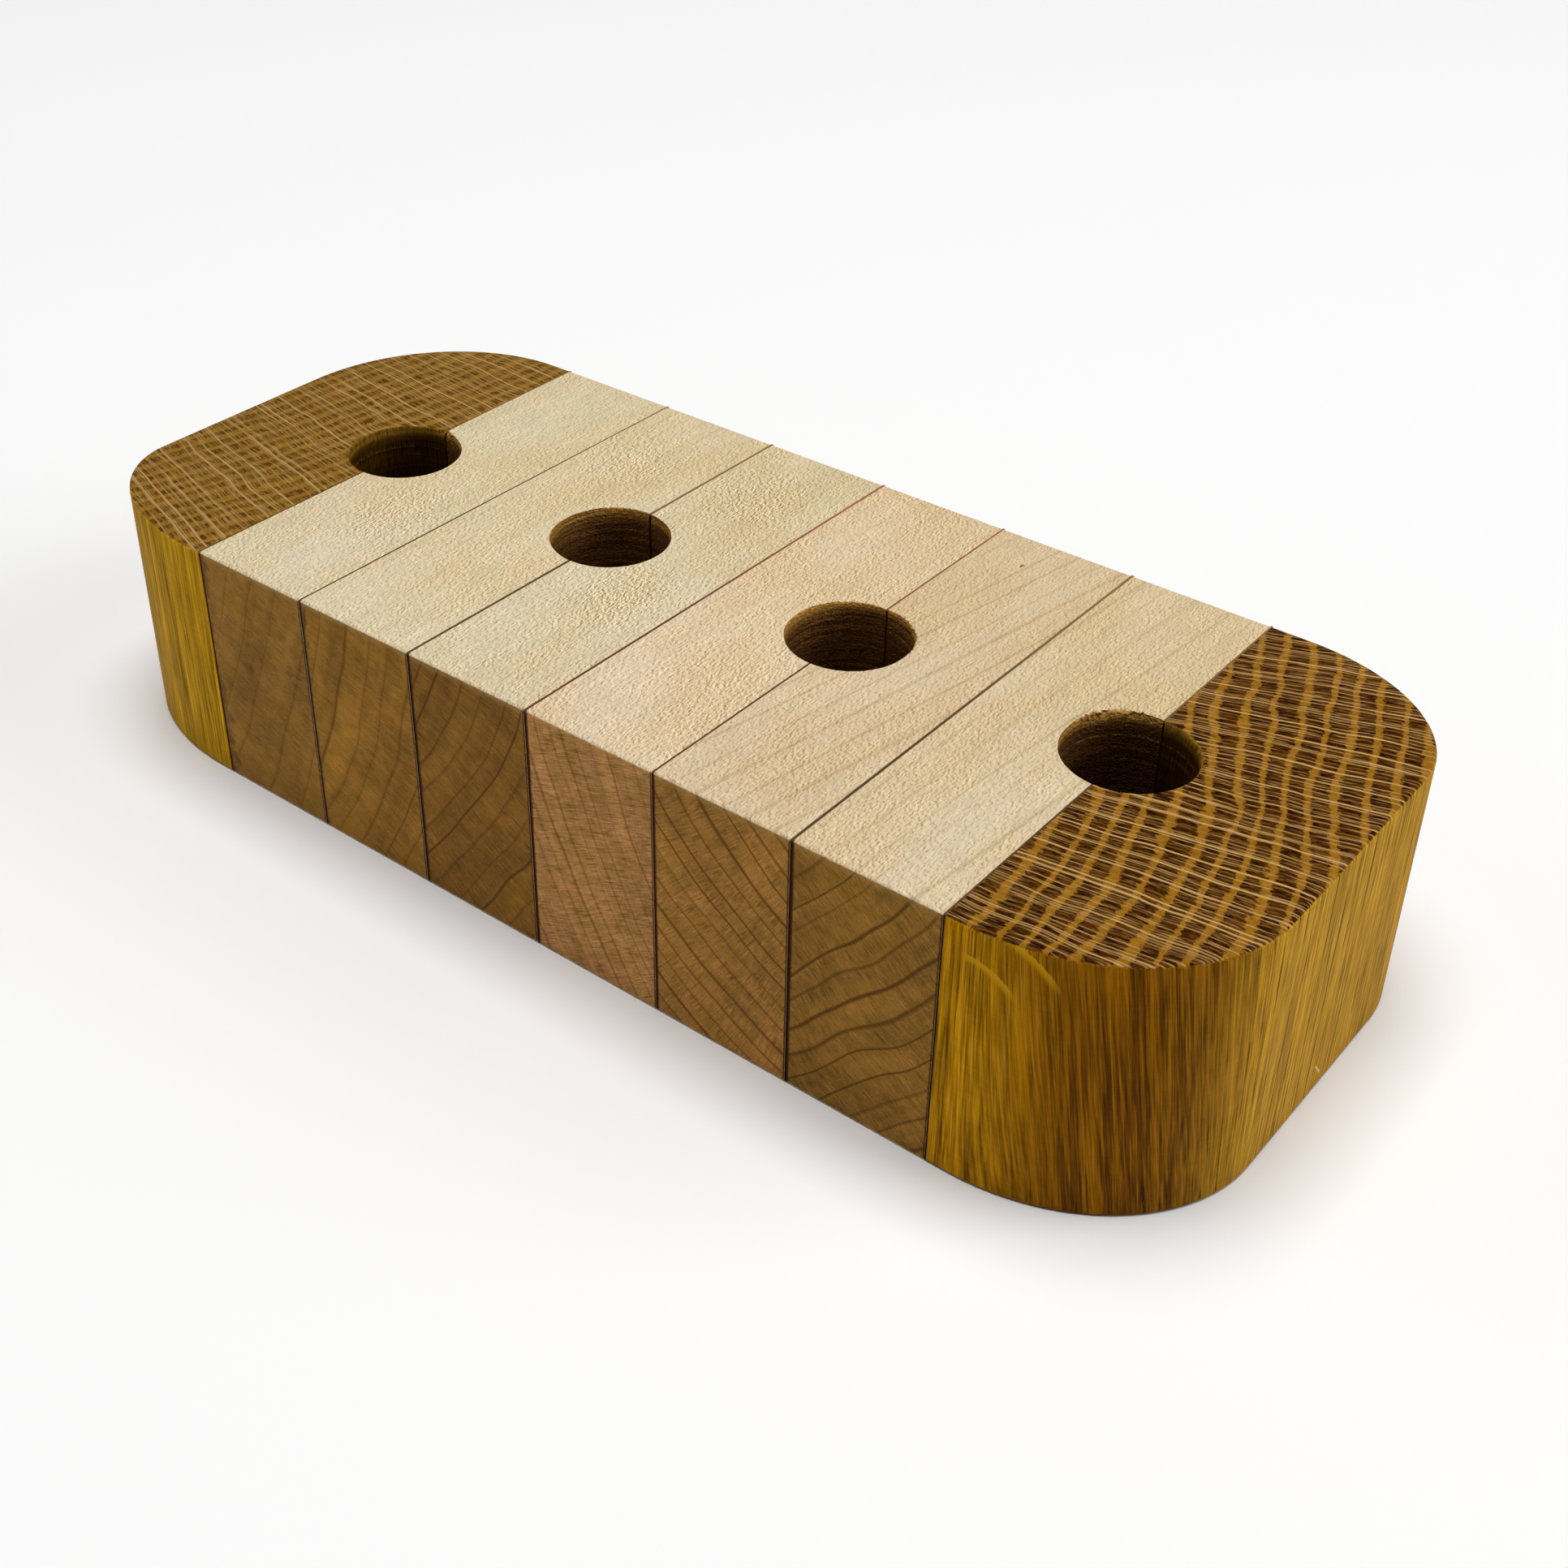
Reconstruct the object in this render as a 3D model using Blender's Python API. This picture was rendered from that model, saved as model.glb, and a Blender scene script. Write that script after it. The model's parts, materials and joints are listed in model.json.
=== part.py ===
"""Candle block glued up from hardwood offcuts: two oak ends with upright grain, six maple staves that
run from front to back, a dark glue line in each of the seven joints, and four blind sockets drilled
on every other joint.

Metres, +Z up. The origin is on the underside, in the middle of the block. +X runs along the block and
+Y points to its back.
"""

import math

import bmesh
import bpy

# Driving dimensions
BLOCK_WIDTH = 0.0995
BLOCK_HEIGHT = 0.0488
STAVE_COUNT = 6
STAVE_PITCH = 0.027
OAK_END_LENGTH = 0.039
ARRIS = 0.0004

# Every joint's width, left to right, and what the glue leaves free of it on each side
JOINT_WIDTHS = (0.00035, 0.00040, 0.00055, 0.00050, 0.00040, 0.00055, 0.00035)
GLUE_CLEARANCE = 0.00004
GLUE_TOP_RECESS = 0.00010
GLUE_BASE_RECESS = 0.00030

# Ends rounded by hand: how far each corner's curve runs along the block, and how far across it
FRONT_RIGHT_CORNER = (0.0355, 0.0300)
BACK_RIGHT_CORNER = (0.0320, 0.0265)
BACK_LEFT_CORNER = (0.0345, 0.0365)
FRONT_LEFT_CORNER = (0.0360, 0.0230)
CORNER_SEGMENTS = 18

# Candle sockets, which stand a little behind the middle of the block
SOCKET_RADIUS = 0.011
SOCKET_DEPTH = 0.025
SOCKET_ROW_Y = 0.0015
SOCKET_JOINTS = (0, 2, 4, 6)
SOCKET_SEGMENTS = 64
SPUR_MARK_RADIUS = 0.0014
SPUR_MARK_DEPTH = 0.0016

# Cutters and slabs reach this far past what they cut
OVERSHOOT = 0.006
ARRIS_SEGMENTS = 2
ARRIS_ANGLE = math.radians(60)
SHARP_ANGLE = math.radians(30)

HALF_LENGTH = STAVE_COUNT * STAVE_PITCH / 2 + OAK_END_LENGTH
HALF_WIDTH = BLOCK_WIDTH / 2
JOINTS = [(i - STAVE_COUNT / 2) * STAVE_PITCH for i in range(STAVE_COUNT + 1)]


def clear_scene():
    for obj in list(bpy.data.objects):
        bpy.data.objects.remove(obj)


def finish(name, colour, roughness):
    material = bpy.data.materials.new(name)
    material.use_nodes = True
    shader = material.node_tree.nodes["Principled BSDF"]
    shader.inputs["Base Color"].default_value = (*colour, 1.0)
    shader.inputs["Roughness"].default_value = roughness
    shader.inputs["Metallic"].default_value = 0.0
    return material


def add_object(name, mesh_maker, parent=None, material=None):
    """A named object whose mesh is what mesh_maker builds in a bmesh."""
    mesh = bpy.data.meshes.new(name)
    shape = bmesh.new()
    mesh_maker(shape)
    bmesh.ops.recalc_face_normals(shape, faces=shape.faces)
    shape.to_mesh(mesh)
    shape.free()
    obj = bpy.data.objects.new(name, mesh)
    obj.parent = parent
    if material:
        mesh.materials.append(material)
    bpy.context.scene.collection.objects.link(obj)
    return obj


def hide_helper(obj):
    obj.hide_render = True
    obj.display_type = "WIRE"
    return obj


def corner_arc(side_x, side_y, reach):
    """A quarter ellipse in plan, counter-clockwise, at the corner on the given sides of the middle."""
    length, width = reach
    centre_x = side_x * (HALF_LENGTH - length)
    centre_y = side_y * (HALF_WIDTH - width)
    start = math.atan2(side_y, side_x) - math.pi / 4
    turns = [start + math.pi / 2 * i / CORNER_SEGMENTS for i in range(CORNER_SEGMENTS + 1)]
    return [(centre_x + length * math.cos(a), centre_y + width * math.sin(a)) for a in turns]


def block_outline():
    """The block's plan, counter-clockwise from its front right corner."""
    return (
        corner_arc(1, -1, FRONT_RIGHT_CORNER)
        + corner_arc(1, 1, BACK_RIGHT_CORNER)
        + corner_arc(-1, 1, BACK_LEFT_CORNER)
        + corner_arc(-1, -1, FRONT_LEFT_CORNER)
    )


def add_envelope():
    """The outer shape that the glued block is sawn and sanded to, with its eased edges."""

    def build(shape):
        corners = [shape.verts.new((x, y, 0.0)) for x, y in block_outline()]
        base = shape.faces.new(corners)
        raised = bmesh.ops.extrude_face_region(shape, geom=[base])["geom"]
        top = [v for v in raised if isinstance(v, bmesh.types.BMVert)]
        bmesh.ops.translate(shape, verts=top, vec=(0.0, 0.0, BLOCK_HEIGHT))

    envelope = hide_helper(add_object("block_envelope", build))
    easing = envelope.modifiers.new("eased edges", "BEVEL")
    easing.width = ARRIS
    easing.segments = ARRIS_SEGMENTS
    easing.limit_method = "ANGLE"
    easing.angle_limit = ARRIS_ANGLE
    return envelope


def add_socket_cutter(joint):
    """The space that a flat-bottomed bit leaves, with the mark of its centre spur in the floor."""
    profile = [
        (SPUR_MARK_RADIUS, 0.0),
        (SOCKET_RADIUS, 0.0),
        (SOCKET_RADIUS, SOCKET_DEPTH + OVERSHOOT),
    ]

    def ring(shape, radius, height):
        turns = [2 * math.pi * i / SOCKET_SEGMENTS for i in range(SOCKET_SEGMENTS)]
        return [shape.verts.new((radius * math.cos(a), radius * math.sin(a), height)) for a in turns]

    def build(shape):
        rings = [ring(shape, radius, height) for radius, height in profile]
        spur = shape.verts.new((0.0, 0.0, -SPUR_MARK_DEPTH))
        for i in range(SOCKET_SEGMENTS):
            j = (i + 1) % SOCKET_SEGMENTS
            shape.faces.new((spur, rings[0][j], rings[0][i]))
            for lower, upper in zip(rings, rings[1:]):
                shape.faces.new((lower[i], lower[j], upper[j], upper[i]))
        shape.faces.new(rings[-1])

    cutter = hide_helper(add_object(f"socket_cutter_{joint + 1}", build))
    cutter.location = (JOINTS[joint], SOCKET_ROW_Y, BLOCK_HEIGHT - SOCKET_DEPTH)
    return cutter


def add_slab(name, low, high, parent, material):
    """A plain cuboid between two corners, with its origin in its middle."""
    size = [b - a for a, b in zip(low, high)]

    def build(shape):
        bmesh.ops.create_cube(shape, size=1.0)
        bmesh.ops.scale(shape, vec=size, verts=shape.verts)

    slab = add_object(name, build, parent, material)
    slab.location = [(a + b) / 2 for a, b in zip(low, high)]
    return slab


def shape_with(obj, operation, tool):
    cut = obj.modifiers.new(f"{operation.lower()} {tool.name}", "BOOLEAN")
    cut.operation = operation
    cut.object = tool
    cut.solver = "EXACT"


def settle(obj):
    """Turns the modifiers' result into the object's own mesh, shaded smooth where it is round."""
    graph = bpy.context.evaluated_depsgraph_get()
    mesh = bpy.data.meshes.new_from_object(obj.evaluated_get(graph))
    obj.modifiers.clear()
    obj.data = mesh
    mesh.name = obj.name
    mesh.shade_smooth()
    mesh.set_sharp_from_angle(angle=SHARP_ANGLE)


def add_wood_piece(name, left, right, envelope, cutters, parent, material):
    """One length of wood between two joints, cut to the block's outer shape and drilled."""
    low = (left, -HALF_WIDTH - OVERSHOOT, -OVERSHOOT)
    high = (right, HALF_WIDTH + OVERSHOOT, BLOCK_HEIGHT + OVERSHOOT)
    piece = add_slab(name, low, high, parent, material)
    shape_with(piece, "INTERSECT", envelope)
    for cutter in cutters:
        shape_with(piece, "DIFFERENCE", cutter)
    return piece


def add_glue_line(name, joint, cutters, parent, material):
    """The film of dark glue in one joint. It stops just short of the wood's outer faces."""
    half = JOINT_WIDTHS[joint] / 2 - GLUE_CLEARANCE
    low = (JOINTS[joint] - half, -HALF_WIDTH + ARRIS, GLUE_BASE_RECESS)
    high = (JOINTS[joint] + half, HALF_WIDTH - ARRIS, BLOCK_HEIGHT - GLUE_TOP_RECESS)
    film = add_slab(name, low, high, parent, material)
    for cutter in cutters:
        shape_with(film, "DIFFERENCE", cutter)
    return film


def build_block():
    oak = finish("oak", (0.30, 0.17, 0.055), 0.5)
    maple = finish("maple", (0.72, 0.55, 0.36), 0.5)
    glue = finish("dark_glue", (0.03, 0.018, 0.014), 0.6)

    block = bpy.data.objects.new("candle_block", None)
    bpy.context.scene.collection.objects.link(block)
    envelope = add_envelope()
    cutters = {joint: add_socket_cutter(joint) for joint in SOCKET_JOINTS}

    names = ["oak_end_left"]
    names += [f"maple_stave_{i + 1}" for i in range(STAVE_COUNT)]
    names += ["oak_end_right"]
    solids = []
    for i, name in enumerate(names):
        is_first, is_last = i == 0, i == len(names) - 1
        left = -HALF_LENGTH - OVERSHOOT if is_first else JOINTS[i - 1] + JOINT_WIDTHS[i - 1] / 2
        right = HALF_LENGTH + OVERSHOOT if is_last else JOINTS[i] - JOINT_WIDTHS[i] / 2
        own_cutters = [cutters[j] for j in (i - 1, i) if j in cutters]
        material = oak if is_first or is_last else maple
        solids.append(add_wood_piece(name, left, right, envelope, own_cutters, block, material))

    for joint in range(len(JOINTS)):
        own_cutters = [cutters[joint]] if joint in cutters else []
        solids.append(add_glue_line(f"glue_line_{joint + 1}", joint, own_cutters, block, glue))

    bpy.context.view_layer.update()
    for solid in solids:
        settle(solid)
    for helper in [envelope, *cutters.values()]:
        bpy.data.objects.remove(helper)


def main():
    clear_scene()
    build_block()


main()
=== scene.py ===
"""Looks of the laminated candle block. Each piece of wood and each line of glue is modelled again round
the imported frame, with its eased edges, drilled sockets and torn rims, and gets its own board's grain.

Lengths are metres. Inside the materials they are millimetres, counted from the middle of the underside.
"""

import json
import math
from dataclasses import dataclass
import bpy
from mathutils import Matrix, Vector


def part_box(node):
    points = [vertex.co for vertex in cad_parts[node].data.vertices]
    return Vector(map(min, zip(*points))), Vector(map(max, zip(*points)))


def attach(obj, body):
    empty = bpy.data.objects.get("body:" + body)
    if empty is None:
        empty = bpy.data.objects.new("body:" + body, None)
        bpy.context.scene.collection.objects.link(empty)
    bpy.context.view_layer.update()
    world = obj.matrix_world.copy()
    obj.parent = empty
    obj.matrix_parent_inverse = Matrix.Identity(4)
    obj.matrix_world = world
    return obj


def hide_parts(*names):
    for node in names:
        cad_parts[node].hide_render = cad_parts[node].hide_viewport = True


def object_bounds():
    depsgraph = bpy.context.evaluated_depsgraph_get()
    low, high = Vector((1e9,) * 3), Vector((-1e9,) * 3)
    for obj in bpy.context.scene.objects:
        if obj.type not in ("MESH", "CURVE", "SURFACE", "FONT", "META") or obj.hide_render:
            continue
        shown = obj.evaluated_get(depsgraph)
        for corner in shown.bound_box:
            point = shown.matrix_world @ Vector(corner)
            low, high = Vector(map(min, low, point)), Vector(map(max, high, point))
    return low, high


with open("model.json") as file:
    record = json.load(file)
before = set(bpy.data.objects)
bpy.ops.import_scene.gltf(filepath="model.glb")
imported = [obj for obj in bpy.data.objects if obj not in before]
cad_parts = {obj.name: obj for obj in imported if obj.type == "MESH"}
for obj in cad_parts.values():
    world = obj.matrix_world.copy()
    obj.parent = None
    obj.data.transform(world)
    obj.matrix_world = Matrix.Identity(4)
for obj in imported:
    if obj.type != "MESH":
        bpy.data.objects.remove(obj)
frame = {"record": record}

from types import SimpleNamespace

import bmesh
import bpy
from mathutils import Matrix, Vector, noise

MM = 0.001

# The block's size comes from the frame
CAD_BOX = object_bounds()
HALF_LENGTH, HALF_WIDTH, HEIGHT = CAD_BOX[1]

WOODS = ["oak_end_left", *(f"maple_stave_{i}" for i in range(1, 7)), "oak_end_right"]
SOCKETS = [
    [(low + high) / 2 for low, high in zip(*opening["box_m"])]
    for opening in frame["record"]["physics"]["openings"]
]

# The sockets stand on every other joint
HALF_STAVE = (SOCKETS[1][0] - SOCKETS[0][0]) / 4

# Rounded ends: how far each corner's curve runs along the block, and how far across it
FRONT_RIGHT_CORNER = (0.0355, 0.0300)
BACK_RIGHT_CORNER = (0.0320, 0.0265)
BACK_LEFT_CORNER = (0.0345, 0.0365)
FRONT_LEFT_CORNER = (0.0360, 0.0230)
CORNER_STEPS = 44
ARRIS = 0.0007
ARRIS_STEPS = 4
ARRIS_ANGLE = math.radians(60)
OVERSHOOT = 0.006

# Sockets: their size, and how closely the wall is modelled near the rim and further down
SOCKET_RADIUS = 0.011
SOCKET_DEPTH = 0.025
SOCKET_STEPS = 224
RIM_DEPTHS = [-0.0001, 0.0, 0.0001, 0.00022, 0.00036, 0.00054, 0.00076]
WALL_STEP = 0.00042
SPUR_RADIUS = 0.0014
SPUR_DEPTH = 0.0016

# The wall's unevenness: rings from the bit, rough fibres, the rim's flare, and how deep torn places reach
CHATTER = 0.00008
ROUGH_FIBRES = 0.00005
FLARE = 0.00012
FLARE_DEPTH = 0.00025
TEAR_DEPTH = 0.0011

# Glue: how far each film stops short of the block's faces, and how far it bites into the wood beside it
GLUE_TOP_RECESS = 0.00004
GLUE_SIDE_RECESS = 0.00010
GLUE_BASE_RECESS = 0.00030
GLUE_BITE = 0.00001

SHARP_ANGLE = math.radians(32)

# Camera
CAMERA_PLACE = (0.20068, -0.24709, 0.23710)
CAMERA_AIM = (0.00145, -0.00340, 0.02440)
CAMERA_LENS = 48.27
CAMERA_SHIFT = (0.0445, -0.0445)

# Studio: the backdrop's strength by height above the horizon, the floor, and the soft boxes
BACKDROP_BAND = {"From Min": 0.06, "From Max": 0.20, "To Min": 0.75, "To Max": 0.03}
FLOOR_REACH = 1.6
FLOOR_SIDES = 128
PAPER_TONE = (0.93, 0.93, 0.93)
SOFTBOX_SIZE = 1.8
SOFTBOXES = {  # place and watts
    "top_softbox": ((0.0, 0.0, 3.06), 82.0),
    "right_softbox": ((2.25, 1.30, 1.52), 33.0),
    "left_softbox": ((-2.25, -1.30, 1.52), 9.0),
}


# ---------------------------------------------------------------- camera, light and floor


def look_at(obj, target):
    direction = Vector(target) - obj.location
    obj.rotation_euler = direction.to_track_quat("-Z", "Y").to_euler()


def add_camera():
    data = bpy.data.cameras.new("camera")
    data.sensor_width = 36.0
    data.lens = CAMERA_LENS
    data.shift_x, data.shift_y = CAMERA_SHIFT
    data.clip_start = 0.01
    camera = bpy.data.objects.new("camera", data)
    camera.location = CAMERA_PLACE
    look_at(camera, CAMERA_AIM)
    bpy.context.scene.collection.objects.link(camera)
    bpy.context.scene.camera = camera


def add_softbox(name, place, watts):
    data = bpy.data.lights.new(name, "AREA")
    data.shape = "RECTANGLE"
    data.size = SOFTBOX_SIZE
    data.size_y = SOFTBOX_SIZE
    data.energy = watts
    light = bpy.data.objects.new(name, data)
    light.location = place
    look_at(light, (0.0, 0.0, HEIGHT / 2))
    bpy.context.scene.collection.objects.link(light)


def add_backdrop():
    """A dim sky with a pale band round the horizon, like paper walls behind the floor's far edge."""
    world = bpy.data.worlds.new("studio")
    world.use_nodes = True
    nodes, links = world.node_tree.nodes, world.node_tree.links
    direction = nodes.new("ShaderNodeTexCoord")
    parts = nodes.new("ShaderNodeSeparateXYZ")
    links.new(direction.outputs["Generated"], parts.inputs[0])
    band = nodes.new("ShaderNodeMapRange")
    band.interpolation_type = "SMOOTHSTEP"
    links.new(parts.outputs["Z"], band.inputs["Value"])
    for name, value in BACKDROP_BAND.items():
        band.inputs[name].default_value = value
    links.new(band.outputs[0], nodes["Background"].inputs["Strength"])
    nodes["Background"].inputs["Color"].default_value = (1.0, 1.0, 1.0, 1.0)
    bpy.context.scene.world = world


def add_floor():
    mesh = bpy.data.meshes.new("floor")
    shape = bmesh.new()
    bmesh.ops.create_circle(shape, cap_ends=True, segments=FLOOR_SIDES, radius=FLOOR_REACH)
    shape.to_mesh(mesh)
    shape.free()
    floor = bpy.data.objects.new("floor", mesh)
    bpy.context.scene.collection.objects.link(floor)
    paper = Graph("pale_paper")
    paper.finish(PAPER_TONE, 0.9, 0.1)
    mesh.materials.append(paper.material)


def add_studio():
    """A pale floor under a large soft box, with a weaker one towards each end of the block."""
    bpy.context.scene.view_settings.view_transform = "Standard"
    add_backdrop()
    for name, (place, watts) in SOFTBOXES.items():
        add_softbox(name, place, watts)
    add_floor()


# ---------------------------------------------------------------- materials


class Signal:
    """A number or a vector inside a node tree, which can be reckoned with like a plain number."""

    def __init__(self, graph, socket):
        self.graph = graph
        self.socket = socket

    def __add__(self, other):
        return self.graph.math("ADD", self, other)

    def __radd__(self, other):
        return self.graph.math("ADD", other, self)

    def __sub__(self, other):
        return self.graph.math("SUBTRACT", self, other)

    def __rsub__(self, other):
        return self.graph.math("SUBTRACT", other, self)

    def __mul__(self, other):
        return self.graph.math("MULTIPLY", self, other)

    def __truediv__(self, other):
        return self.graph.math("DIVIDE", self, other)

    def __abs__(self):
        return self.graph.math("ABSOLUTE", self)


class Graph:
    """Builds a material's nodes. A value is a Signal, a number, or a tuple where a colour goes."""

    def __init__(self, name):
        self.material = bpy.data.materials.new(name)
        self.material.use_nodes = True
        self.tree = self.material.node_tree
        self.shader = self.tree.nodes["Principled BSDF"]

    def feed(self, socket, value):
        if isinstance(value, Signal):
            self.tree.links.new(value.socket, socket)
        elif isinstance(value, tuple) and len(socket.default_value) == 4:
            socket.default_value = (*value, 1.0)
        else:
            socket.default_value = value

    def node(self, kind, inputs, output, **settings):
        made = self.tree.nodes.new(kind)
        for key, value in settings.items():
            setattr(made, key, value)
        for key, value in inputs.items():
            self.feed(made.inputs[key], value)
        return Signal(self, made.outputs[output])

    def math(self, operation, *values):
        return self.node("ShaderNodeMath", dict(enumerate(values)), 0, operation=operation)

    def split(self, vector):
        return tuple(self.node("ShaderNodeSeparateXYZ", {0: vector}, axis) for axis in "XYZ")

    def place(self):
        """x, y and z of the surface point, in millimetres."""
        point = self.node("ShaderNodeTexCoord", {}, "Object")
        scaled = self.node("ShaderNodeVectorMath", {0: point, "Scale": 1 / MM}, 0, operation="SCALE")
        return self.split(scaled)

    def normal(self):
        return self.split(self.node("ShaderNodeTexCoord", {}, "Normal"))

    def noise(self, x, y=0.0, z=0.0, detail=2.0, rough=0.5, output=0):
        """Smooth noise from 0 to 1 with features about one unit across."""
        spot = self.node("ShaderNodeCombineXYZ", {"X": x, "Y": y, "Z": z}, 0)
        inputs = {"Vector": spot, "Scale": 1.0, "Detail": detail, "Roughness": rough}
        return self.node("ShaderNodeTexNoise", inputs, output)

    def specks(self, x, y=0.0, z=0.0):
        """Distance to the nearest of many points, strewn one to a unit cell."""
        spot = self.node("ShaderNodeCombineXYZ", {"X": x, "Y": y, "Z": z}, 0)
        return self.node("ShaderNodeTexVoronoi", {"Vector": spot, "Scale": 1.0}, "Distance")

    def stripes(self, w, scatter=1.0):
        """Distance, along one axis, to the nearest of many lines, strewn one to a unit."""
        inputs = {"W": w, "Scale": 1.0, "Randomness": scatter}
        return self.node("ShaderNodeTexVoronoi", inputs, "Distance", voronoi_dimensions="1D")

    def random(self, w):
        return self.node("ShaderNodeTexWhiteNoise", {"W": w}, "Value", noise_dimensions="1D")

    def ramp(self, value, start, end):
        """Goes smoothly from 0 to 1 as value goes from start to end."""
        if end < start:
            return 1.0 - self.ramp(value, end, start)
        inputs = {"Value": value, "From Min": start, "From Max": end}
        return self.node("ShaderNodeMapRange", inputs, 0, interpolation_type="SMOOTHSTEP")

    def hypot(self, a, b):
        return self.math("SQRT", a * a + b * b)

    def mix(self, share, a, b):
        """Colour a where share is 0, and b where it is 1."""
        return self.node("ShaderNodeMix", {0: share, 6: a, 7: b}, 2, data_type="RGBA")

    def shade(self, colour, amount):
        """The colour, made lighter or darker by a number."""
        inputs = {0: colour, "Scale": amount}
        return self.node("ShaderNodeVectorMath", inputs, 0, operation="SCALE")

    def filter(self, share, colour, factors):
        """The colour with each channel scaled by its own factor, by that share."""
        inputs = {0: share, 6: colour, 7: factors}
        return self.node("ShaderNodeMix", inputs, 2, data_type="RGBA", blend_type="MULTIPLY")

    def finish(self, colour, roughness, specular, height=None, relief=0.0):
        """Joins the colour, the roughness and a relief of that many metres to the shader."""
        self.feed(self.shader.inputs["Base Color"], colour)
        self.feed(self.shader.inputs["Roughness"], roughness)
        self.feed(self.shader.inputs["Specular IOR Level"], specular)
        if height is not None:
            bump = self.node("ShaderNodeBump", {"Strength": 1.0, "Distance": relief, "Height": height}, 0)
            self.feed(self.shader.inputs["Normal"], bump)


def tint(colour, factors):
    return tuple(c * f for c, f in zip(colour, factors))


def bore_share(g, x, y, z, facing_z, socket):
    """1 on the wall and floor of the socket, and 0 on the outside of the block."""
    away = g.hypot(x - socket[0] / MM, y - socket[1] / MM) - SOCKET_RADIUS / MM
    depth = HEIGHT / MM - z
    wall = g.ramp(abs(facing_z), 0.85, 0.60)
    inside = g.math("MAXIMUM", wall, g.ramp(depth, 0.60, 1.00))
    return inside * g.ramp(away, 2.30, 2.00) * g.ramp(depth, 30.0, 28.0)


def bore_colour(g, x, y, z, socket, wood, fibrous):
    """The socket's wall: paler and browner at the rim, darker further down as painted shade, and ringed
    with tool marks further down.
    """
    right, back = x - socket[0] / MM, y - socket[1] / MM
    depth = HEIGHT / MM - z + back * 0.03
    travel = (depth + g.hypot(right, back)) / 0.55
    rings = g.noise(travel, right * 0.06 + wood.seed, back * 0.06, detail=3.0, rough=0.75)
    scuffs = g.noise(x / 0.4, y / 0.4, z / 1.2, detail=3.0)
    strands = g.noise(x / 0.34 + wood.seed, y / 0.34, z / 5.0, detail=2.0, rough=0.6)
    # Paler near the rim and darker further down: painted shade falling off down the socket
    rim = g.ramp(depth + (strands - 0.5) * 3.4, 3.4, 0.5)
    wall = g.mix(rim, wood.bore, wood.rim)
    wall = g.mix(g.ramp(rings, 0.66, 0.74) * 0.30, wall, wood.rim)
    scored = g.ramp(abs(depth - 4.6), 0.20, 0.06) * g.ramp(scuffs, 0.40, 0.56)
    wall = g.mix(scored * 0.45, wall, wood.rim)
    # Painted shade: darker still towards the socket's floor
    wall = g.shade(wall, 1.0 - g.ramp(depth, 3.0, 13.0) * 0.35)
    tone = 1.0 + (rings - 0.5) * (3.2 - 1.8 * fibrous) + (scuffs - 0.5) * 1.2
    tone = tone + (strands - 0.5) * (0.9 + 2.0 * fibrous)
    return g.shade(wall, g.math("MAXIMUM", tone, 0.12))


def torn_rim_shade(g, x, y, tear, socket, seed):
    """Short brown gaps between the fibres on top, where the bit tore them beside the rim: the torn wood's
    brown with painted shade in the gaps.
    """
    turn = g.math("ARCTAN2", y - socket[1] / MM, x - socket[0] / MM)
    away = g.hypot(x - socket[0] / MM, y - socket[1] / MM) - SOCKET_RADIUS / MM
    spread = math.radians(tear.spread)
    near = g.ramp(abs(turn - math.radians(tear.middle)), spread, spread * 0.6)
    gaps = g.noise(turn * 38.0 + seed, away / 2.5, seed, detail=2.0)
    reach = tear.bite / MM * 0.9 + 0.25
    return near * g.ramp(gaps - away / reach * 0.22, 0.34, 0.56) * g.ramp(away, reach, reach * 0.5)


@dataclass
class Tear:
    """A stretch of a socket's rim where the bit tore the wood: its middle and half-width in degrees."""

    middle: float
    spread: float
    bite: float


# Torn stretches of each socket's rim. Angles are counter-clockwise from the right.
TEARS = [
    [Tear(86, 15, 0.0014), Tear(-160, 19, 0.0003)],
    [Tear(115, 40, 0.0004), Tear(-150, 29, 0.0003)],
    [Tear(140, 39, 0.0004), Tear(45, 40, 0.0008)],
    [Tear(136, 43, 0.0015), Tear(20, 50, 0.0008)],
]


@dataclass
class Maple:
    """One maple stave, in millimetres. Its grain runs from front to back, and its pith is off the block."""

    pith: tuple  # x and z of the tree's middle
    ring: float  # mean width of a year's growth
    lean: float  # how far the grain drifts to the right for each unit it goes back
    wander: float  # how far the rings stray from circles
    face: tuple  # colour of the long grain
    end: tuple  # colour of the end grain
    face_lines: float  # how dark the rings are on the long grain
    end_lines: float  # how dark they are on the end grain
    soft: float  # how broad the dark wood before each ring's edge is, as a share of the year
    flecks: float  # strength of the ray flecks on the long grain
    hatch: float  # strength of the rays on the end grain
    soak: float  # how far the left joint's glue has stained the end grain
    seed: float
    bore: tuple = (0.175, 0.074, 0.018)  # colour of the socket's wall further down, dark with painted shade
    rim: tuple = (0.500, 0.250, 0.048)  # colour of the wall at the rim
    speck: tuple = ()  # x and y of a dark speck on top
    figures: tuple = ()  # x and y of patches where the grain curls, on top, drawn with stronger painted shade on the pebbles


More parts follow.
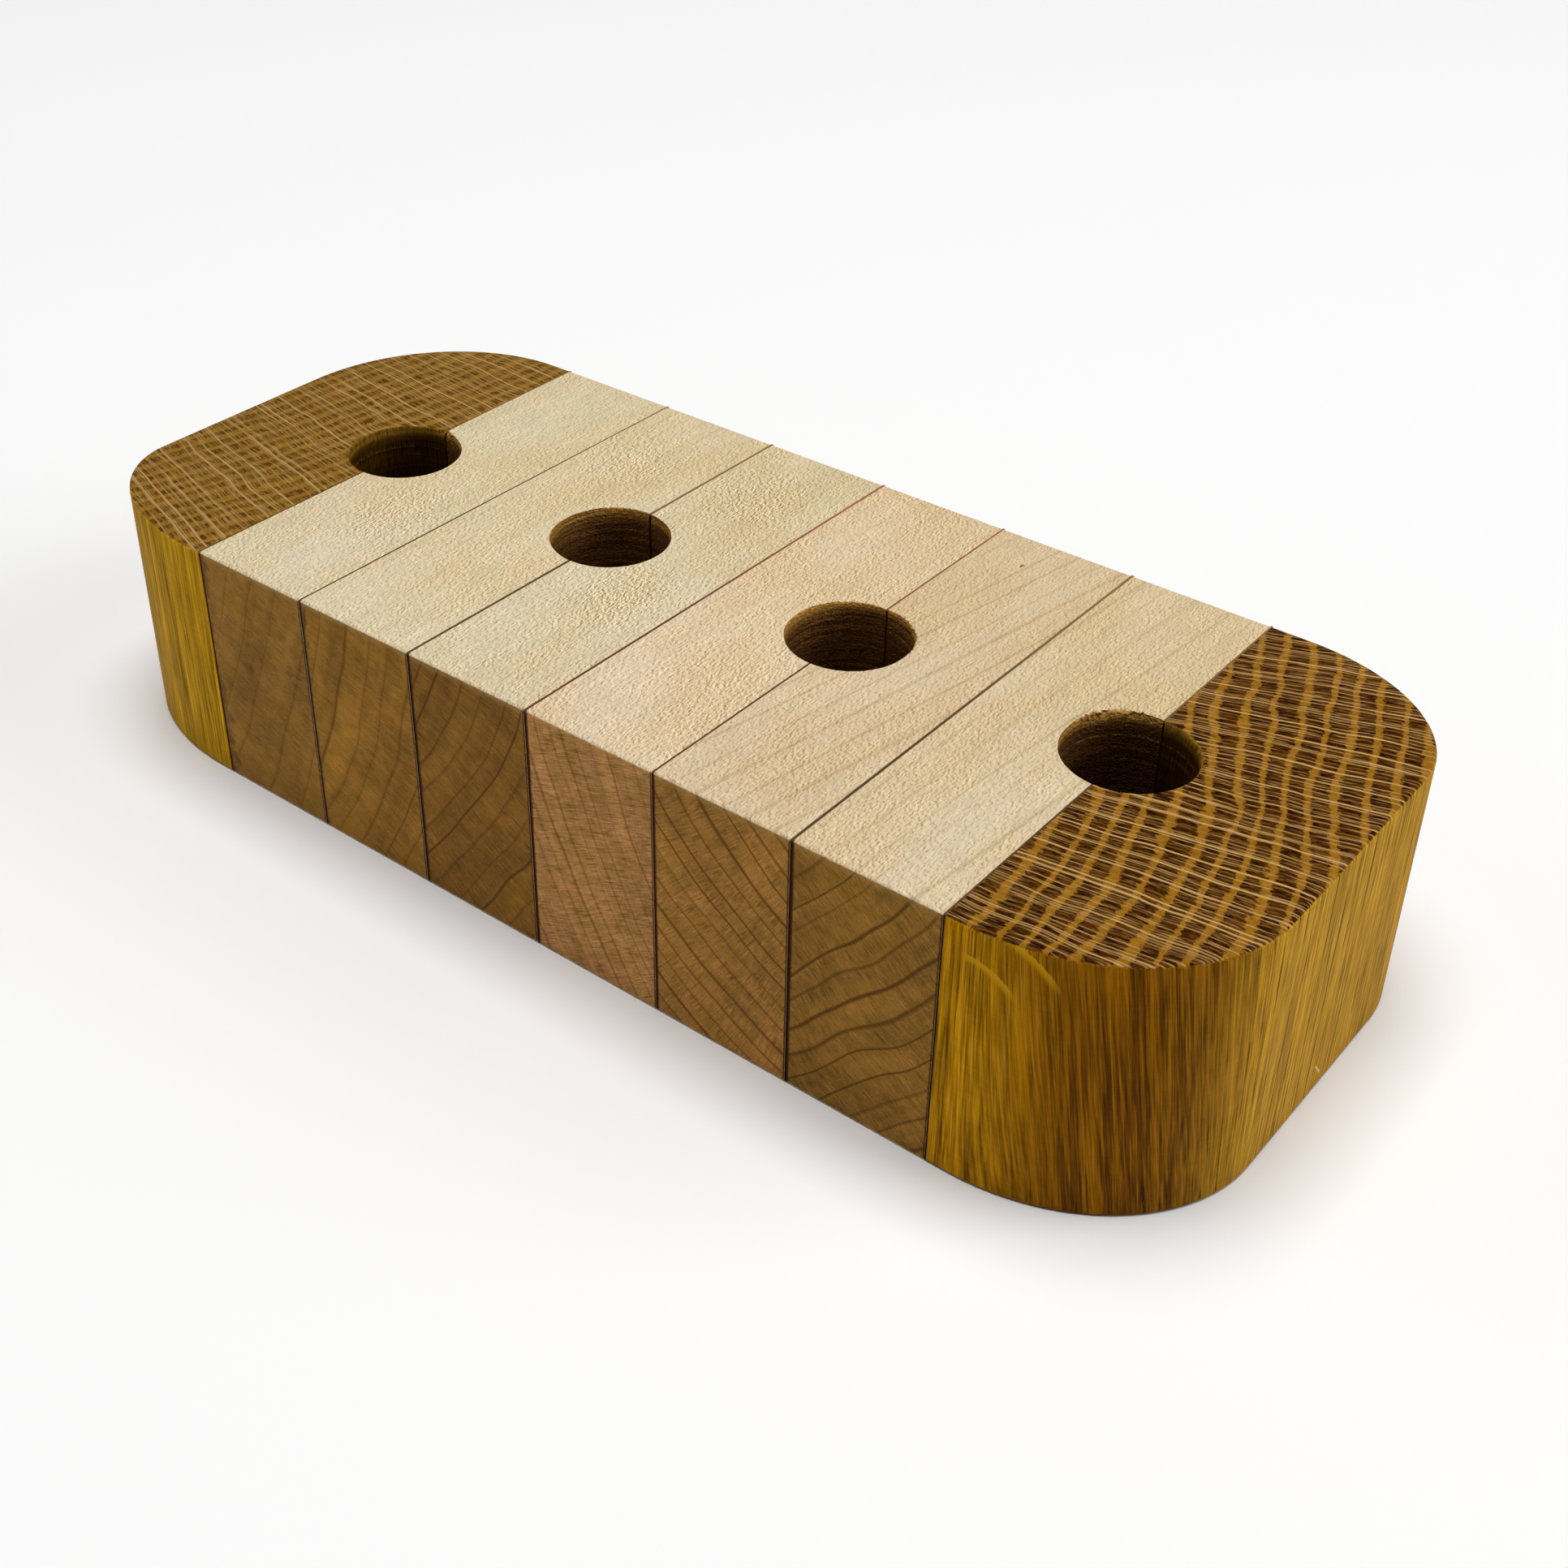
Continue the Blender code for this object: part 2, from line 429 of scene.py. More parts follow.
MAPLES = [
    Maple(
        pith=(-296, 119), ring=7.2, lean=0.03, wander=3,
        face=(0.642, 0.545, 0.366), end=(0.302, 0.150, 0.024),
        face_lines=0.07, end_lines=0.34, soft=0.30, flecks=0.8, hatch=0.45, soak=5.0,
        seed=11.0, figures=((-62, -18),),
    ),
    Maple(
        pith=(-176, 78), ring=5.2, lean=0.02, wander=3,
        face=(0.649, 0.538, 0.353), end=(0.328, 0.159, 0.021),
        face_lines=0.10, end_lines=0.42, soft=0.28, flecks=0.9, hatch=0.55, soak=2.0,
        seed=23.0, figures=((-44, 26),),
    ),
    Maple(
        pith=(-102, 82), ring=4.4, lean=0.03, wander=3,
        face=(0.642, 0.538, 0.358), end=(0.248, 0.116, 0.015),
        face_lines=0.08, end_lines=0.52, soft=0.14, flecks=1.1, hatch=0.75, soak=1.5,
        seed=37.0, figures=((-12, -14), (-16, 30)),
    ),
    Maple(
        pith=(185, 100), ring=2.9, lean=0.00, wander=2,
        face=(0.676, 0.536, 0.358), end=(0.463, 0.234, 0.080),
        face_lines=0.10, end_lines=0.34, soft=0.20, flecks=1.1, hatch=1.10, soak=1.0,
        seed=41.0,
    ),
    Maple(
        pith=(95, 86), ring=3.8, lean=0.17, wander=3,
        face=(0.631, 0.492, 0.316), end=(0.368, 0.179, 0.038),
        face_lines=0.32, end_lines=0.56, soft=0.12, flecks=0.6, hatch=0.90, soak=1.0,
        seed=58.0, speck=(36.9, 40.0),
    ),
    Maple(
        pith=(-140, 215), ring=4.2, lean=0.08, wander=5,
        face=(0.638, 0.512, 0.330), end=(0.283, 0.140, 0.022),
        face_lines=0.36, end_lines=0.60, soft=0.12, flecks=0.6, hatch=0.85, soak=1.0,
        seed=67.0, bore=(0.115, 0.048, 0.011),
    ),
]


def maple_growth(g, wood, left, x, y, z):
    """Rings and rays about the stave's pith, and the mottling of its wood."""
    # Rings: stray circles, unevenly wide, with a thin dark line at each year's end
    stray = g.noise(x / 20 + wood.seed, y / 110, z / 20, detail=1.0, output=1)
    stray_x, stray_z, _ = g.split(stray)
    across = x - wood.pith[0] - y * wood.lean + (stray_x - 0.5) * wood.wander
    up = z - wood.pith[1] + (stray_z - 0.5) * wood.wander
    radius = g.hypot(across, up)
    years = radius / wood.ring + g.noise(radius / (2.2 * wood.ring), wood.seed) * 1.8
    year = g.math("FLOOR", years)
    season = years - year
    depth = 0.35 + g.random(year + wood.seed) * 0.65
    edge = (0.5 - season) * wood.ring
    line = g.ramp(abs(edge), 0.40, 0.07) * depth
    late = g.ramp(season, 0.5 - wood.soft, 0.5) * g.ramp(edge, -0.15, 0.05) * depth

    # Rays run out from the pith, and turn counts millimetres round it
    mean_radius = math.hypot((left + HALF_STAVE) / MM - wood.pith[0], HEIGHT / MM / 2 - wood.pith[1])
    outward = across if wood.pith[0] < left / MM else across * -1.0
    turn = g.math("ARCTAN2", up, outward) * mean_radius
    fine_rays = g.noise(turn / 0.24 + wood.seed, radius / 3.0, y / 2.0, detail=1.0)
    groups = g.noise(turn / 1.6, radius / 2.2, y / 3.0 + wood.seed, detail=2.0)
    stripes = g.noise(turn / 0.9 + wood.seed, radius / 14, y / 6, detail=2.0)
    group_share = 0.75 + g.ramp(groups, 0.35, 0.70) * 0.95

    return SimpleNamespace(
        line=line,
        late=late,
        fine_rays=fine_rays,
        weave=(fine_rays - 0.5) * group_share + (stripes - 0.5) * 0.45,
        hoops=g.noise(years * 1.6, turn / 40, wood.seed, detail=2.0),
        grain=g.noise(x / 0.28 + wood.seed, y / 0.90, z / 0.28, detail=2.0, rough=0.6),
        cloud=g.noise(x / 13 + wood.seed, y / 30, z / 13, detail=3.0),
        blotch=g.noise(x / 3.2 + wood.seed, y / 6, z / 3.2, detail=3.0, rough=0.55),
        pebble=g.noise(x / 0.38 + wood.seed, y / 0.76, z / 0.38, detail=1.0),
        fleck=g.ramp(g.specks(x / 0.50 + wood.seed, y / 0.95, z / 0.50), 0.42, 0.12),
    )


def maple_face(g, wood, growth, x, y, z):
    """Colour of the long grain, sanded to faint pebbles, with a painted highlight and a painted shade on
    each pebble's flanks.
    """
    # The pebbles shifted towards the light: the difference paints a lit and a shaded flank on each pebble
    flank = g.noise(x / 0.38 + wood.seed - 0.30, y / 0.76 - 0.18, z / 0.38, detail=1.0)
    flank_shading = growth.pebble - flank
    # Strength of the painted flank shading, greater in the patches where the grain curls
    curl_shading = 0.55 + g.ramp(growth.blotch + growth.cloud, 0.80, 1.25) * 0.75
    for spot_x, spot_y in wood.figures:
        curl_shading = curl_shading + g.ramp(g.hypot(x - spot_x, (y - spot_y) * 0.8), 13.0, 3.0) * 0.9

    fair = tint(wood.face, (1.00, 1.02, 1.06))
    tan = tint(wood.face, (0.97, 0.93, 0.86))
    face = g.mix(g.ramp(growth.cloud, 0.32, 0.68), fair, tan)
    face = g.filter(g.ramp(y, -30.0, 40.0), face, (0.97, 0.95, 0.89))
    rings = (growth.line + growth.late * 0.5) * wood.face_lines
    face = g.mix(rings, face, tint(wood.face, (0.54, 0.46, 0.16)))
    # Painted shade on the pebbles' shaded flanks
    flank_shadow = g.ramp(flank_shading * curl_shading, 0.02, 0.16) * (0.42 + 0.42 * wood.flecks)
    face = g.mix(flank_shadow, face, tint(wood.face, (0.80, 0.72, 0.56)))
    face = g.mix(growth.fleck * (0.30 * wood.flecks), face, tint(wood.face, (0.72, 0.62, 0.46)))
    threads = g.noise(x / 0.5 + wood.seed, y / 14, z / 0.5, detail=2.0)
    tone = 1.14 + (threads - 0.5) * 0.28 + (growth.blotch - 0.5) * 0.24
    # Painted highlight and painted shade across the pebbles' flanks
    tone = tone - flank_shading * curl_shading * (0.70 + 0.85 * wood.flecks)
    return g.shade(face, tone)


def maple_end(g, wood, growth, x, z, left, right):
    """Colour of the end grain: a fine hatch of rays, the rings' dark lines, a painted highlight under the
    top edge, and glue stains.
    """
    warm = tint(wood.end, (1.06, 1.00, 0.92))
    olive = tint(wood.end, (0.84, 0.85, 0.60))
    end = g.mix(g.ramp(growth.blotch, 0.36, 0.66), warm, olive)
    tone = 1.05 + growth.weave * (0.35 + 0.80 * wood.hatch) + (growth.grain - 0.5) * 0.75
    tone = tone + (growth.cloud - 0.5) * 0.90 + (growth.hoops - 0.5) * 0.80
    end = g.shade(end, tone)
    hatch = growth.weave + (growth.grain - 0.5) * 0.6
    pale = tint(wood.end, (1.35, 1.62, 3.20))
    end = g.mix(g.ramp(hatch, 0.04, 0.42) * 0.22, end, pale)
    end = g.filter(g.ramp(hatch, -0.04, -0.40) * 0.55, end, (0.86, 0.78, 0.40))
    rings = (growth.line * 0.95 + growth.late * 0.40) * (wood.end_lines * 1.5)
    end = g.mix(g.math("MINIMUM", rings, 0.9), end, tint(wood.end, (0.36, 0.29, 0.06)))
    # A paler band under the top edge: painted highlight where the eased edge catches the light
    eased = g.ramp(HEIGHT / MM - z + (growth.grain - 0.5) * 0.8, 1.6, 0.5)
    end = g.mix(eased * 0.40, end, tint(wood.face, (0.62, 0.46, 0.22)))
    seep = x - left / MM + (growth.blotch - 0.5) * (2.2 * wood.soak)
    end = g.mix(g.ramp(seep, 0.32 * wood.soak, 0.0) * 0.55, end, (0.060, 0.030, 0.012))
    seam = g.math("MINIMUM", x - left / MM, right / MM - x) + (growth.grain - 0.5) * 0.20
    return g.mix(g.ramp(seam, 0.42, 0.14) * 0.92, end, (0.045, 0.011, 0.001))


def speck_share(g, wood, growth, x, y, z):
    """1 on the dark speck on top of the stave."""
    away = g.hypot((x - wood.speck[0]) / 0.35, (y - wood.speck[1]) / 0.70)
    on_top = g.ramp(z, HEIGHT / MM - 0.5, HEIGHT / MM)
    return g.ramp(away + (growth.grain - 0.5) * 0.6, 1.1, 0.6) * on_top


def maple_material(name, wood, left, right, socket, tears):
    g = Graph(name)
    x, y, z = g.place()
    _, facing_y, facing_z = g.normal()
    end_on = g.ramp(abs(facing_y), 0.72, 0.93)
    growth = maple_growth(g, wood, left, x, y, z)
    face = maple_face(g, wood, growth, x, y, z)
    end = maple_end(g, wood, growth, x, z, left, right)

    colour = g.mix(end_on, face, end)
    for tear in tears:
        gaps = torn_rim_shade(g, x, y, tear, socket, wood.seed)
        # Torn gaps beside the rim: the torn wood's brown and painted shade in the gaps
        colour = g.mix(gaps * 0.6, colour, (0.220, 0.120, 0.040))
    if wood.speck:
        speck = speck_share(g, wood, growth, x, y, z)
        colour = g.mix(speck * 0.8, colour, (0.110, 0.070, 0.040))
    bore = bore_share(g, x, y, z, facing_z, socket)
    colour = g.mix(bore, colour, bore_colour(g, x, y, z, socket, wood, 0.0))

    roughness = 0.50 + (growth.grain - 0.5) * 0.25 + end_on * 0.14
    height = growth.pebble * 2.2 + growth.grain * 0.5 - growth.fleck * 0.4
    height = height + growth.fine_rays * 0.3 - growth.line * 0.2
    g.finish(colour, roughness, 0.08, height, 0.00018)
    return g.material


@dataclass
class Oak:
    """One oak end, in millimetres. Its grain stands upright, so its top shows the rings and rays."""

    pith: tuple  # x and y of the tree's middle
    ring: float  # mean width of a year's growth
    kink: float  # how far the rings step outwards across the middle of the block
    late: float  # share of each year that is close, pale late wood
    band: tuple  # colour of the late wood on the end grain
    pores: tuple  # colour of the open early wood
    between: tuple  # colour of the wood between the pores
    rung: tuple  # colour of the fine rays in the early wood
    ray: tuple  # colour of the broad rays
    side: tuple  # colour of the upright faces that follow the rays
    side_end: tuple  # colour of the upright faces that cut across the rays
    side_dark: tuple  # colour of the streaks
    dark_corner: tuple  # x and y of the corner that is drawn darker
    dark_corner_tone: tuple  # how far each channel is darkened there
    tilt: float  # how far the grain there drifts forwards, and to the left, for each unit it climbs
    seed: float
    arcs: tuple = ()  # pale curls on the front: x and z of the middle, radius, first and last angle
    bore: tuple = (0.068, 0.028, 0.003)  # colour of the socket's wall further down, dark with painted shade
    rim: tuple = (0.330, 0.165, 0.018)  # colour of the wall at the rim
    nick: tuple = ()  # y and z of both ends of a scratch on the end of the block


OAKS = {
    "oak_end_left": Oak(
        pith=(-433, 67), ring=3.4, kink=0.0, late=0.42,
        band=(0.258, 0.132, 0.019), pores=(0.082, 0.033, 0.003), between=(0.205, 0.095, 0.010),
        rung=(0.280, 0.148, 0.028), ray=(0.450, 0.280, 0.105),
        side=(0.472, 0.252, 0.004), side_end=(0.385, 0.155, 0.001), side_dark=(0.320, 0.160, 0.002),
        dark_corner=(-140, 20), dark_corner_tone=(0.80, 0.75, 0.80), tilt=0.00, seed=5.0,
    ),
    "oak_end_right": Oak(
        pith=(-193, -68.5), ring=4.1, kink=3.0, late=0.30,
        band=(0.290, 0.128, 0.009), pores=(0.018, 0.004, 0.001), between=(0.080, 0.025, 0.001),
        rung=(0.205, 0.088, 0.013), ray=(0.560, 0.335, 0.115),
        # side_end's extra blue on this end is painted sheen from the light falling on the end face
        side=(0.440, 0.205, 0.001), side_end=(0.462, 0.247, 0.014), side_dark=(0.226, 0.094, 0.001),
        # Its front right corner is drawn darker: partly darker wood, partly painted shade
        dark_corner=(110.5, -43.5), dark_corner_tone=(0.50, 0.41, 0.36), tilt=0.14, seed=9.0,
        arcs=((85, 36, 7.5, 15, 100), (88, 39, 10.6, 12, 75)),
        nick=((1.0, 6.0), (3.8, 2.5)),
    ),
}


def curl(g, x, z, arc, fray):
    """1 on a curved ray fleck, fading towards its ends and its inner edge."""
    middle_x, middle_z, size, first, last = arc
    right, up = x - middle_x, z - middle_z
    off = g.hypot(right, up) - size + (fray - 0.5) * 0.8
    turn = g.math("ARCTAN2", up, right)
    along = g.ramp(turn, math.radians(first), math.radians(first + 25))
    along = along * g.ramp(turn, math.radians(last), math.radians(last - 15))
    return g.ramp(off, -1.3, -0.1) * g.ramp(off, 0.45, 0.15) * along


def nick_share(g, y, z, nick):
    """1 along a short scratch between two points of the block's end."""
    (start_y, start_z), (stop_y, stop_z) = nick
    run, rise = stop_y - start_y, stop_z - start_z
    length = math.hypot(run, rise)
    along = ((y - start_y) * run + (z - start_z) * rise) / length
    off = ((y - start_y) * rise - (z - start_z) * run) / length
    ends = g.ramp(along, 0.0, 0.6) * g.ramp(along, length, length - 1.2)
    return g.ramp(abs(off), 0.24, 0.08) * ends * 0.8


def oak_growth(g, wood, socket, x, y, z):
    """Rings and rays about the pith. The late wood's edges step from ray to ray."""
    stray = g.noise(x / 12 + wood.seed, y / 12, z / 70, detail=1.0, output=1)
    stray_x, stray_y, _ = g.split(stray)
    across = x - wood.pith[0] + (stray_x - 0.5) * 2.5
    along = y - wood.pith[1] + (stray_y - 0.5) * 2.0
    radius = g.hypot(across, along)
    mean_radius = math.hypot(math.copysign(100, socket[0]) - wood.pith[0], wood.pith[1])
    turn = g.math("ARCTAN2", along, across) * mean_radius
    kink = g.math("TANH", (y - 3.0) / 13.0) * wood.kink
    step = g.noise(turn / 0.65 + wood.seed, radius / 1.2, z / 30, detail=2.0, rough=0.7)
    years = (radius + kink) / wood.ring + g.noise(radius / 8 + wood.seed, turn / 50) * 1.2
    season = g.math("FRACT", years + (step - 0.5) * 0.50)
    band = g.ramp(season, 0.93 - wood.late, 1.0 - wood.late) * g.ramp(season, 0.99, 0.92)
    broad = g.stripes(turn / 3.7 + wood.seed, 0.85) * 3.7
    fade = g.noise(turn / 3.0, radius / 26, z / 14 + wood.seed, detail=1.0)
    fray = g.noise(radius / 1.2, turn, z / 6) - 0.5
    return SimpleNamespace(
        across=across,
        along=along,
        radius=radius,
        turn=turn,
        step=step,
        season=season,
        band=band,
        holes=g.noise(turn / 0.34 + wood.seed, radius / 1.3, z / 20, detail=2.0, rough=0.65),
        broad=g.ramp(broad + fray * 0.12, 0.27, 0.10) * (0.35 + g.ramp(fade, 0.34, 0.56) * 0.65),
        fibre=g.noise(x / 0.24 + wood.seed, y / 0.24, z / 10, detail=2.0, rough=0.6),
        streak=g.noise(x / 0.8 + wood.seed, y / 0.8, z / 38, detail=3.0, rough=0.6),
    )


def oak_top(g, wood, growth, x, y, z):
    """Colour of the end grain: open pores crossed by fine rays, pale late wood, and broad rays."""
    turn, radius = growth.turn, growth.radius
    patches = g.noise(turn / 1.3 + wood.seed, radius / 1.6, z / 20, detail=2.0)
    paler = g.ramp(growth.season, 0.0, 0.75) * 0.35 + (growth.holes - 0.5) * 3.2
    paler = paler + (patches - 0.5) * 2.0 + 0.30
    top = g.mix(g.ramp(paler, 0.0, 1.0), wood.pores, wood.between)
    arch = growth.season - 0.35
    rungs = g.stripes((turn + arch * arch * 2.0) / 1.05 + wood.seed + 40.0, 0.7) * 1.05
    rungs = g.ramp(rungs, 0.30, 0.06) * g.ramp(g.noise(turn / 1.2, radius / 2.5, z / 9), 0.30, 0.55)
    top = g.mix(rungs * 0.70, top, wood.rung)
    top = g.mix(growth.band * 0.95, top, g.shade(wood.band, 0.55 + growth.step * 0.90))
    top = g.shade(top, 0.86 + g.noise(x / 10, y / 10, wood.seed, detail=2.0) * 0.28)
    fine = g.stripes(turn / 0.9 + wood.seed + 70.0, 0.8) * 0.9
    fine_groups = g.noise(turn / 0.9, radius / 7 + wood.seed, 3.0)
    fine = g.ramp(fine, 0.20, 0.04) * g.ramp(fine_groups, 0.42, 0.58)
    top = g.mix(fine * 0.62, top, wood.ray)
    return g.mix(growth.broad * 0.92, top, wood.ray)


def oak_side(g, wood, growth, x, y, z, facing_x, facing_y, dark_corner):
    """Colour of the upright faces: streaks along the grain, and rays seen end on as thin dark lines."""
    fibre, streak = growth.fibre, growth.streak
    sweep = g.noise(x / 4 + wood.seed, y / 4, z / 200, detail=2.0)
    ripple = g.noise(x / 3.5, y / 3.5, z / 0.55 + wood.seed, detail=2.0)
    outward = abs((facing_x * growth.across + facing_y * growth.along) / growth.radius)
    tangent = g.ramp(outward, 0.55, 0.90)
    side = g.mix(tangent, wood.side, wood.side_end)
    dark = g.ramp(dark_corner + (streak - 0.5) * 24.0, 25.0, 8.0)
    streaked = g.ramp(streak, 0.43, 0.58) * (1.0 - tangent * 0.30) * (0.60 + dark * 0.40)
    side = g.mix(streaked, side, wood.side_dark)
    ray_ends = g.stripes(growth.turn / 1.9 + wood.seed + 7.0) * 1.9
    ray_groups = g.noise(growth.turn / 2.0, growth.radius / 9, z / 11)
    ray_ends = g.ramp(ray_ends, 0.30, 0.05) * g.ramp(ray_groups, 0.45, 0.62)
    tone = 1.12 + (fibre - 0.5) * 2.6 + (sweep - 0.5) * 1.00 + (ripple - 0.5) * 0.30
    tone = tone - (streak - 0.5) * 0.80
    tone = tone - ray_ends * (0.15 + tangent * 0.50) - (1.0 - growth.band) * 0.12
    side = g.shade(side, g.math("MAXIMUM", tone, 0.25))
    side = g.mix(g.ramp(fibre, 0.50, 0.72) * 0.22, side, (0.640, 0.370, 0.035))
    # Darker towards the dark corner; at the right oak's front right corner partly darker wood, partly
    # painted shade
    side = g.filter(dark, side, wood.dark_corner_tone)

    for arc in wood.arcs:
        pale = curl(g, x, z, arc, streak) * g.ramp(facing_y, -0.5, -0.8)
        side = g.mix(pale * 0.8, side, tint(wood.side, (1.35, 1.45, 6.0)))
    if wood.nick:
        nick = nick_share(g, y, z, wood.nick) * g.ramp(facing_x, 0.8, 0.95)
        side = g.mix(nick, side, (0.800, 0.620, 0.340))
    return side


def oak_material(name, wood, socket, tears):
    g = Graph(name)
    x, y, z = g.place()
    facing_x, facing_y, facing_z = g.normal()
    upright = g.ramp(abs(facing_z), 0.80, 0.45)
    bore = bore_share(g, x, y, z, facing_z, socket)
    bored = bore_colour(g, x, y, z, socket, wood, 1.0)

    # The grain leans along the surface round the dark corner
    dark_corner = g.hypot(x - wood.dark_corner[0], y - wood.dark_corner[1])
    tilt = (z - HEIGHT / MM) * g.ramp(dark_corner, 30.0, 12.0) * wood.tilt
    x, y = x - tilt * facing_y, y + tilt * facing_x

    growth = oak_growth(g, wood, socket, x, y, z)
    top = oak_top(g, wood, growth, x, y, z)
    side = oak_side(g, wood, growth, x, y, z, facing_x, facing_y, dark_corner)

    colour = g.mix(upright, top, side)
    for tear in tears:
        gaps = torn_rim_shade(g, x, y, tear, socket, wood.seed)
        # Torn gaps beside the rim, in the wall's dark colour: painted shade in the gaps
        colour = g.mix(gaps * 0.8, colour, wood.bore)
    colour = g.mix(bore, colour, bored)

    roughness = 0.55 + (growth.holes - 0.5) * 0.2
    end_height = growth.band * 0.4 + growth.holes * 0.6 + growth.broad * 0.4
    side_height = (growth.fibre + growth.streak) * 0.6
    height = end_height * (1.0 - upright) + side_height * upright
    g.finish(colour, roughness, 0.02, height, 0.00012)
    return g.material


def glue_material():
    """Near black where it shows on end grain, and thinner and paler between the faces on top."""
    g = Graph("dark_glue")
    x, y, z = g.place()
    grain = g.noise(x / 0.3, y / 0.8, z / 0.8, detail=3.0)
    ruddy = g.ramp(x, -20.0, -5.0) * g.ramp(x, 60.0, 40.0)
    buried = g.mix(ruddy, (0.030, 0.012, 0.001), (0.048, 0.009, 0.001))
    worn = g.mix(ruddy, (0.130, 0.080, 0.036), (0.170, 0.066, 0.036))
    worn = g.shade(worn, 0.75 + g.ramp(y, -20.0, 45.0) * 1.1)
    colour = g.mix(g.ramp(HEIGHT / MM - z, 0.45, 0.30), buried, worn)
    g.finish(g.shade(colour, 0.5 + grain), 0.8, 0.0, grain, 0.00006)
    return g.material


# ---------------------------------------------------------------- shapes


def add_object(name, mesh_maker):
    mesh = bpy.data.meshes.new(name)
    shape = bmesh.new()
    mesh_maker(shape)
    bmesh.ops.recalc_face_normals(shape, faces=shape.faces)
    shape.to_mesh(mesh)
    shape.free()
    obj = bpy.data.objects.new(name, mesh)
    bpy.context.scene.collection.objects.link(obj)
    return obj


def corner_arc(side_x, side_y, reach):
    """A quarter ellipse in plan, counter-clockwise, at the corner on the given sides of the middle."""
    length, width = reach
    centre_x = side_x * (HALF_LENGTH - length)
    centre_y = side_y * (HALF_WIDTH - width)
    start = math.atan2(side_y, side_x) - math.pi / 4
    turns = [start + math.pi / 2 * i / CORNER_STEPS for i in range(CORNER_STEPS + 1)]
    return [(centre_x + length * math.cos(a), centre_y + width * math.sin(a)) for a in turns]


def add_envelope():
    """The outer shape of the glued block, with its eased edges."""
    outline = (
        corner_arc(1, -1, FRONT_RIGHT_CORNER)
        + corner_arc(1, 1, BACK_RIGHT_CORNER)
        + corner_arc(-1, 1, BACK_LEFT_CORNER)
        + corner_arc(-1, -1, FRONT_LEFT_CORNER)
    )

    def build(shape):
        base = shape.faces.new([shape.verts.new((x, y, 0.0)) for x, y in outline])
        raised = bmesh.ops.extrude_face_region(shape, geom=[base])["geom"]
        top = [v for v in raised if isinstance(v, bmesh.types.BMVert)]
        bmesh.ops.translate(shape, verts=top, vec=(0.0, 0.0, HEIGHT))

    envelope = add_object("envelope", build)
    easing = envelope.modifiers.new("eased edges", "BEVEL")
    easing.width = ARRIS
    easing.segments = ARRIS_STEPS
    easing.limit_method = "ANGLE"
    easing.angle_limit = ARRIS_ANGLE
    return envelope


def socket_radius(number, angle, depth):
    """The wall's distance from the axis: the chattering bit's rings, and a torn, slightly flared rim."""
    around = Vector((math.cos(angle), math.sin(angle), 0.0))
    chatter = noise.noise(Vector((depth / 0.00095, 4.0 * number, 0.0)) + around * 0.35)
    chatter += 0.5 * noise.noise(Vector((depth / 0.0004, 4.0 * number, 9.0)) + around * 1.2)
    rough = noise.noise(around * 9.0 + Vector((number, depth / 0.0016, 3.0)))
    radius = SOCKET_RADIUS + CHATTER * chatter + ROUGH_FIBRES * rough
    radius += FLARE * math.exp(-depth / FLARE_DEPTH)
    for tear in TEARS[number]:
        off = abs((math.degrees(angle) - tear.middle + 180.0) % 360.0 - 180.0)
        share = max(0.0, 1.0 - (off / tear.spread) ** 2)
        ragged = noise.noise(around * 26.0 + Vector((number * 3.0, 0.0, depth / 0.0011)))
        ragged += 0.6 * noise.noise(around * 60.0 + Vector((number * 5.0, 0.0, depth / 0.0006)))
        radius += tear.bite * share * (0.35 + 0.65 * max(-0.3, ragged)) * math.exp(-depth / TEAR_DEPTH)
    return radius


def add_socket_cutter(number):
    """The space drilled for one candle, down to its flat floor with the mark of the bit's spur."""
    depths = [-OVERSHOOT, *RIM_DEPTHS]
    while depths[-1] < SOCKET_DEPTH - WALL_STEP:
        depths.append(depths[-1] + WALL_STEP)
    depths.append(SOCKET_DEPTH)
    turns = [2 * math.pi * i / SOCKET_STEPS for i in range(SOCKET_STEPS)]

    def ring(shape, radii, z):
        spots = [(r * math.cos(a), r * math.sin(a), z) for a, r in zip(turns, radii)]
        return [shape.verts.new(spot) for spot in spots]

    def build(shape):
        rings = []
        for depth in depths:
            radii = [socket_radius(number, a, max(depth, 0.0)) for a in turns]
            rings.append(ring(shape, radii, -depth))
        rings.append(ring(shape, [SPUR_RADIUS] * SOCKET_STEPS, -SOCKET_DEPTH))
        tip = shape.verts.new((0.0, 0.0, -SOCKET_DEPTH - SPUR_DEPTH))
        for i in range(SOCKET_STEPS):
            j = (i + 1) % SOCKET_STEPS
            for upper, lower in zip(rings, rings[1:]):
                shape.faces.new((upper[i], lower[i], lower[j], upper[j]))
            shape.faces.new((rings[-1][i], tip, rings[-1][j]))
        shape.faces.new(rings[0])

    cutter = add_object(f"socket_cutter_{number + 1}", build)
    cutter.location = (SOCKETS[number][0], SOCKETS[number][1], HEIGHT)
    return cutter


def add_slab(name, low, high):
    """A cuboid between two corners, to be cut to shape. Its origin is the block's."""
    size = [b - a for a, b in zip(low, high)]
    middle = [(a + b) / 2 for a, b in zip(low, high)]

    def build(shape):
        bmesh.ops.create_cube(shape, size=1.0)
        bmesh.ops.transform(shape, matrix=Matrix.Diagonal((*size, 1.0)), verts=shape.verts)
        bmesh.ops.translate(shape, vec=middle, verts=shape.verts)

    return add_object(name, build)


def cut(obj, operation, tool):
    step = obj.modifiers.new(tool.name, "BOOLEAN")
    step.operation = operation
    step.object = tool
    step.solver = "EXACT"


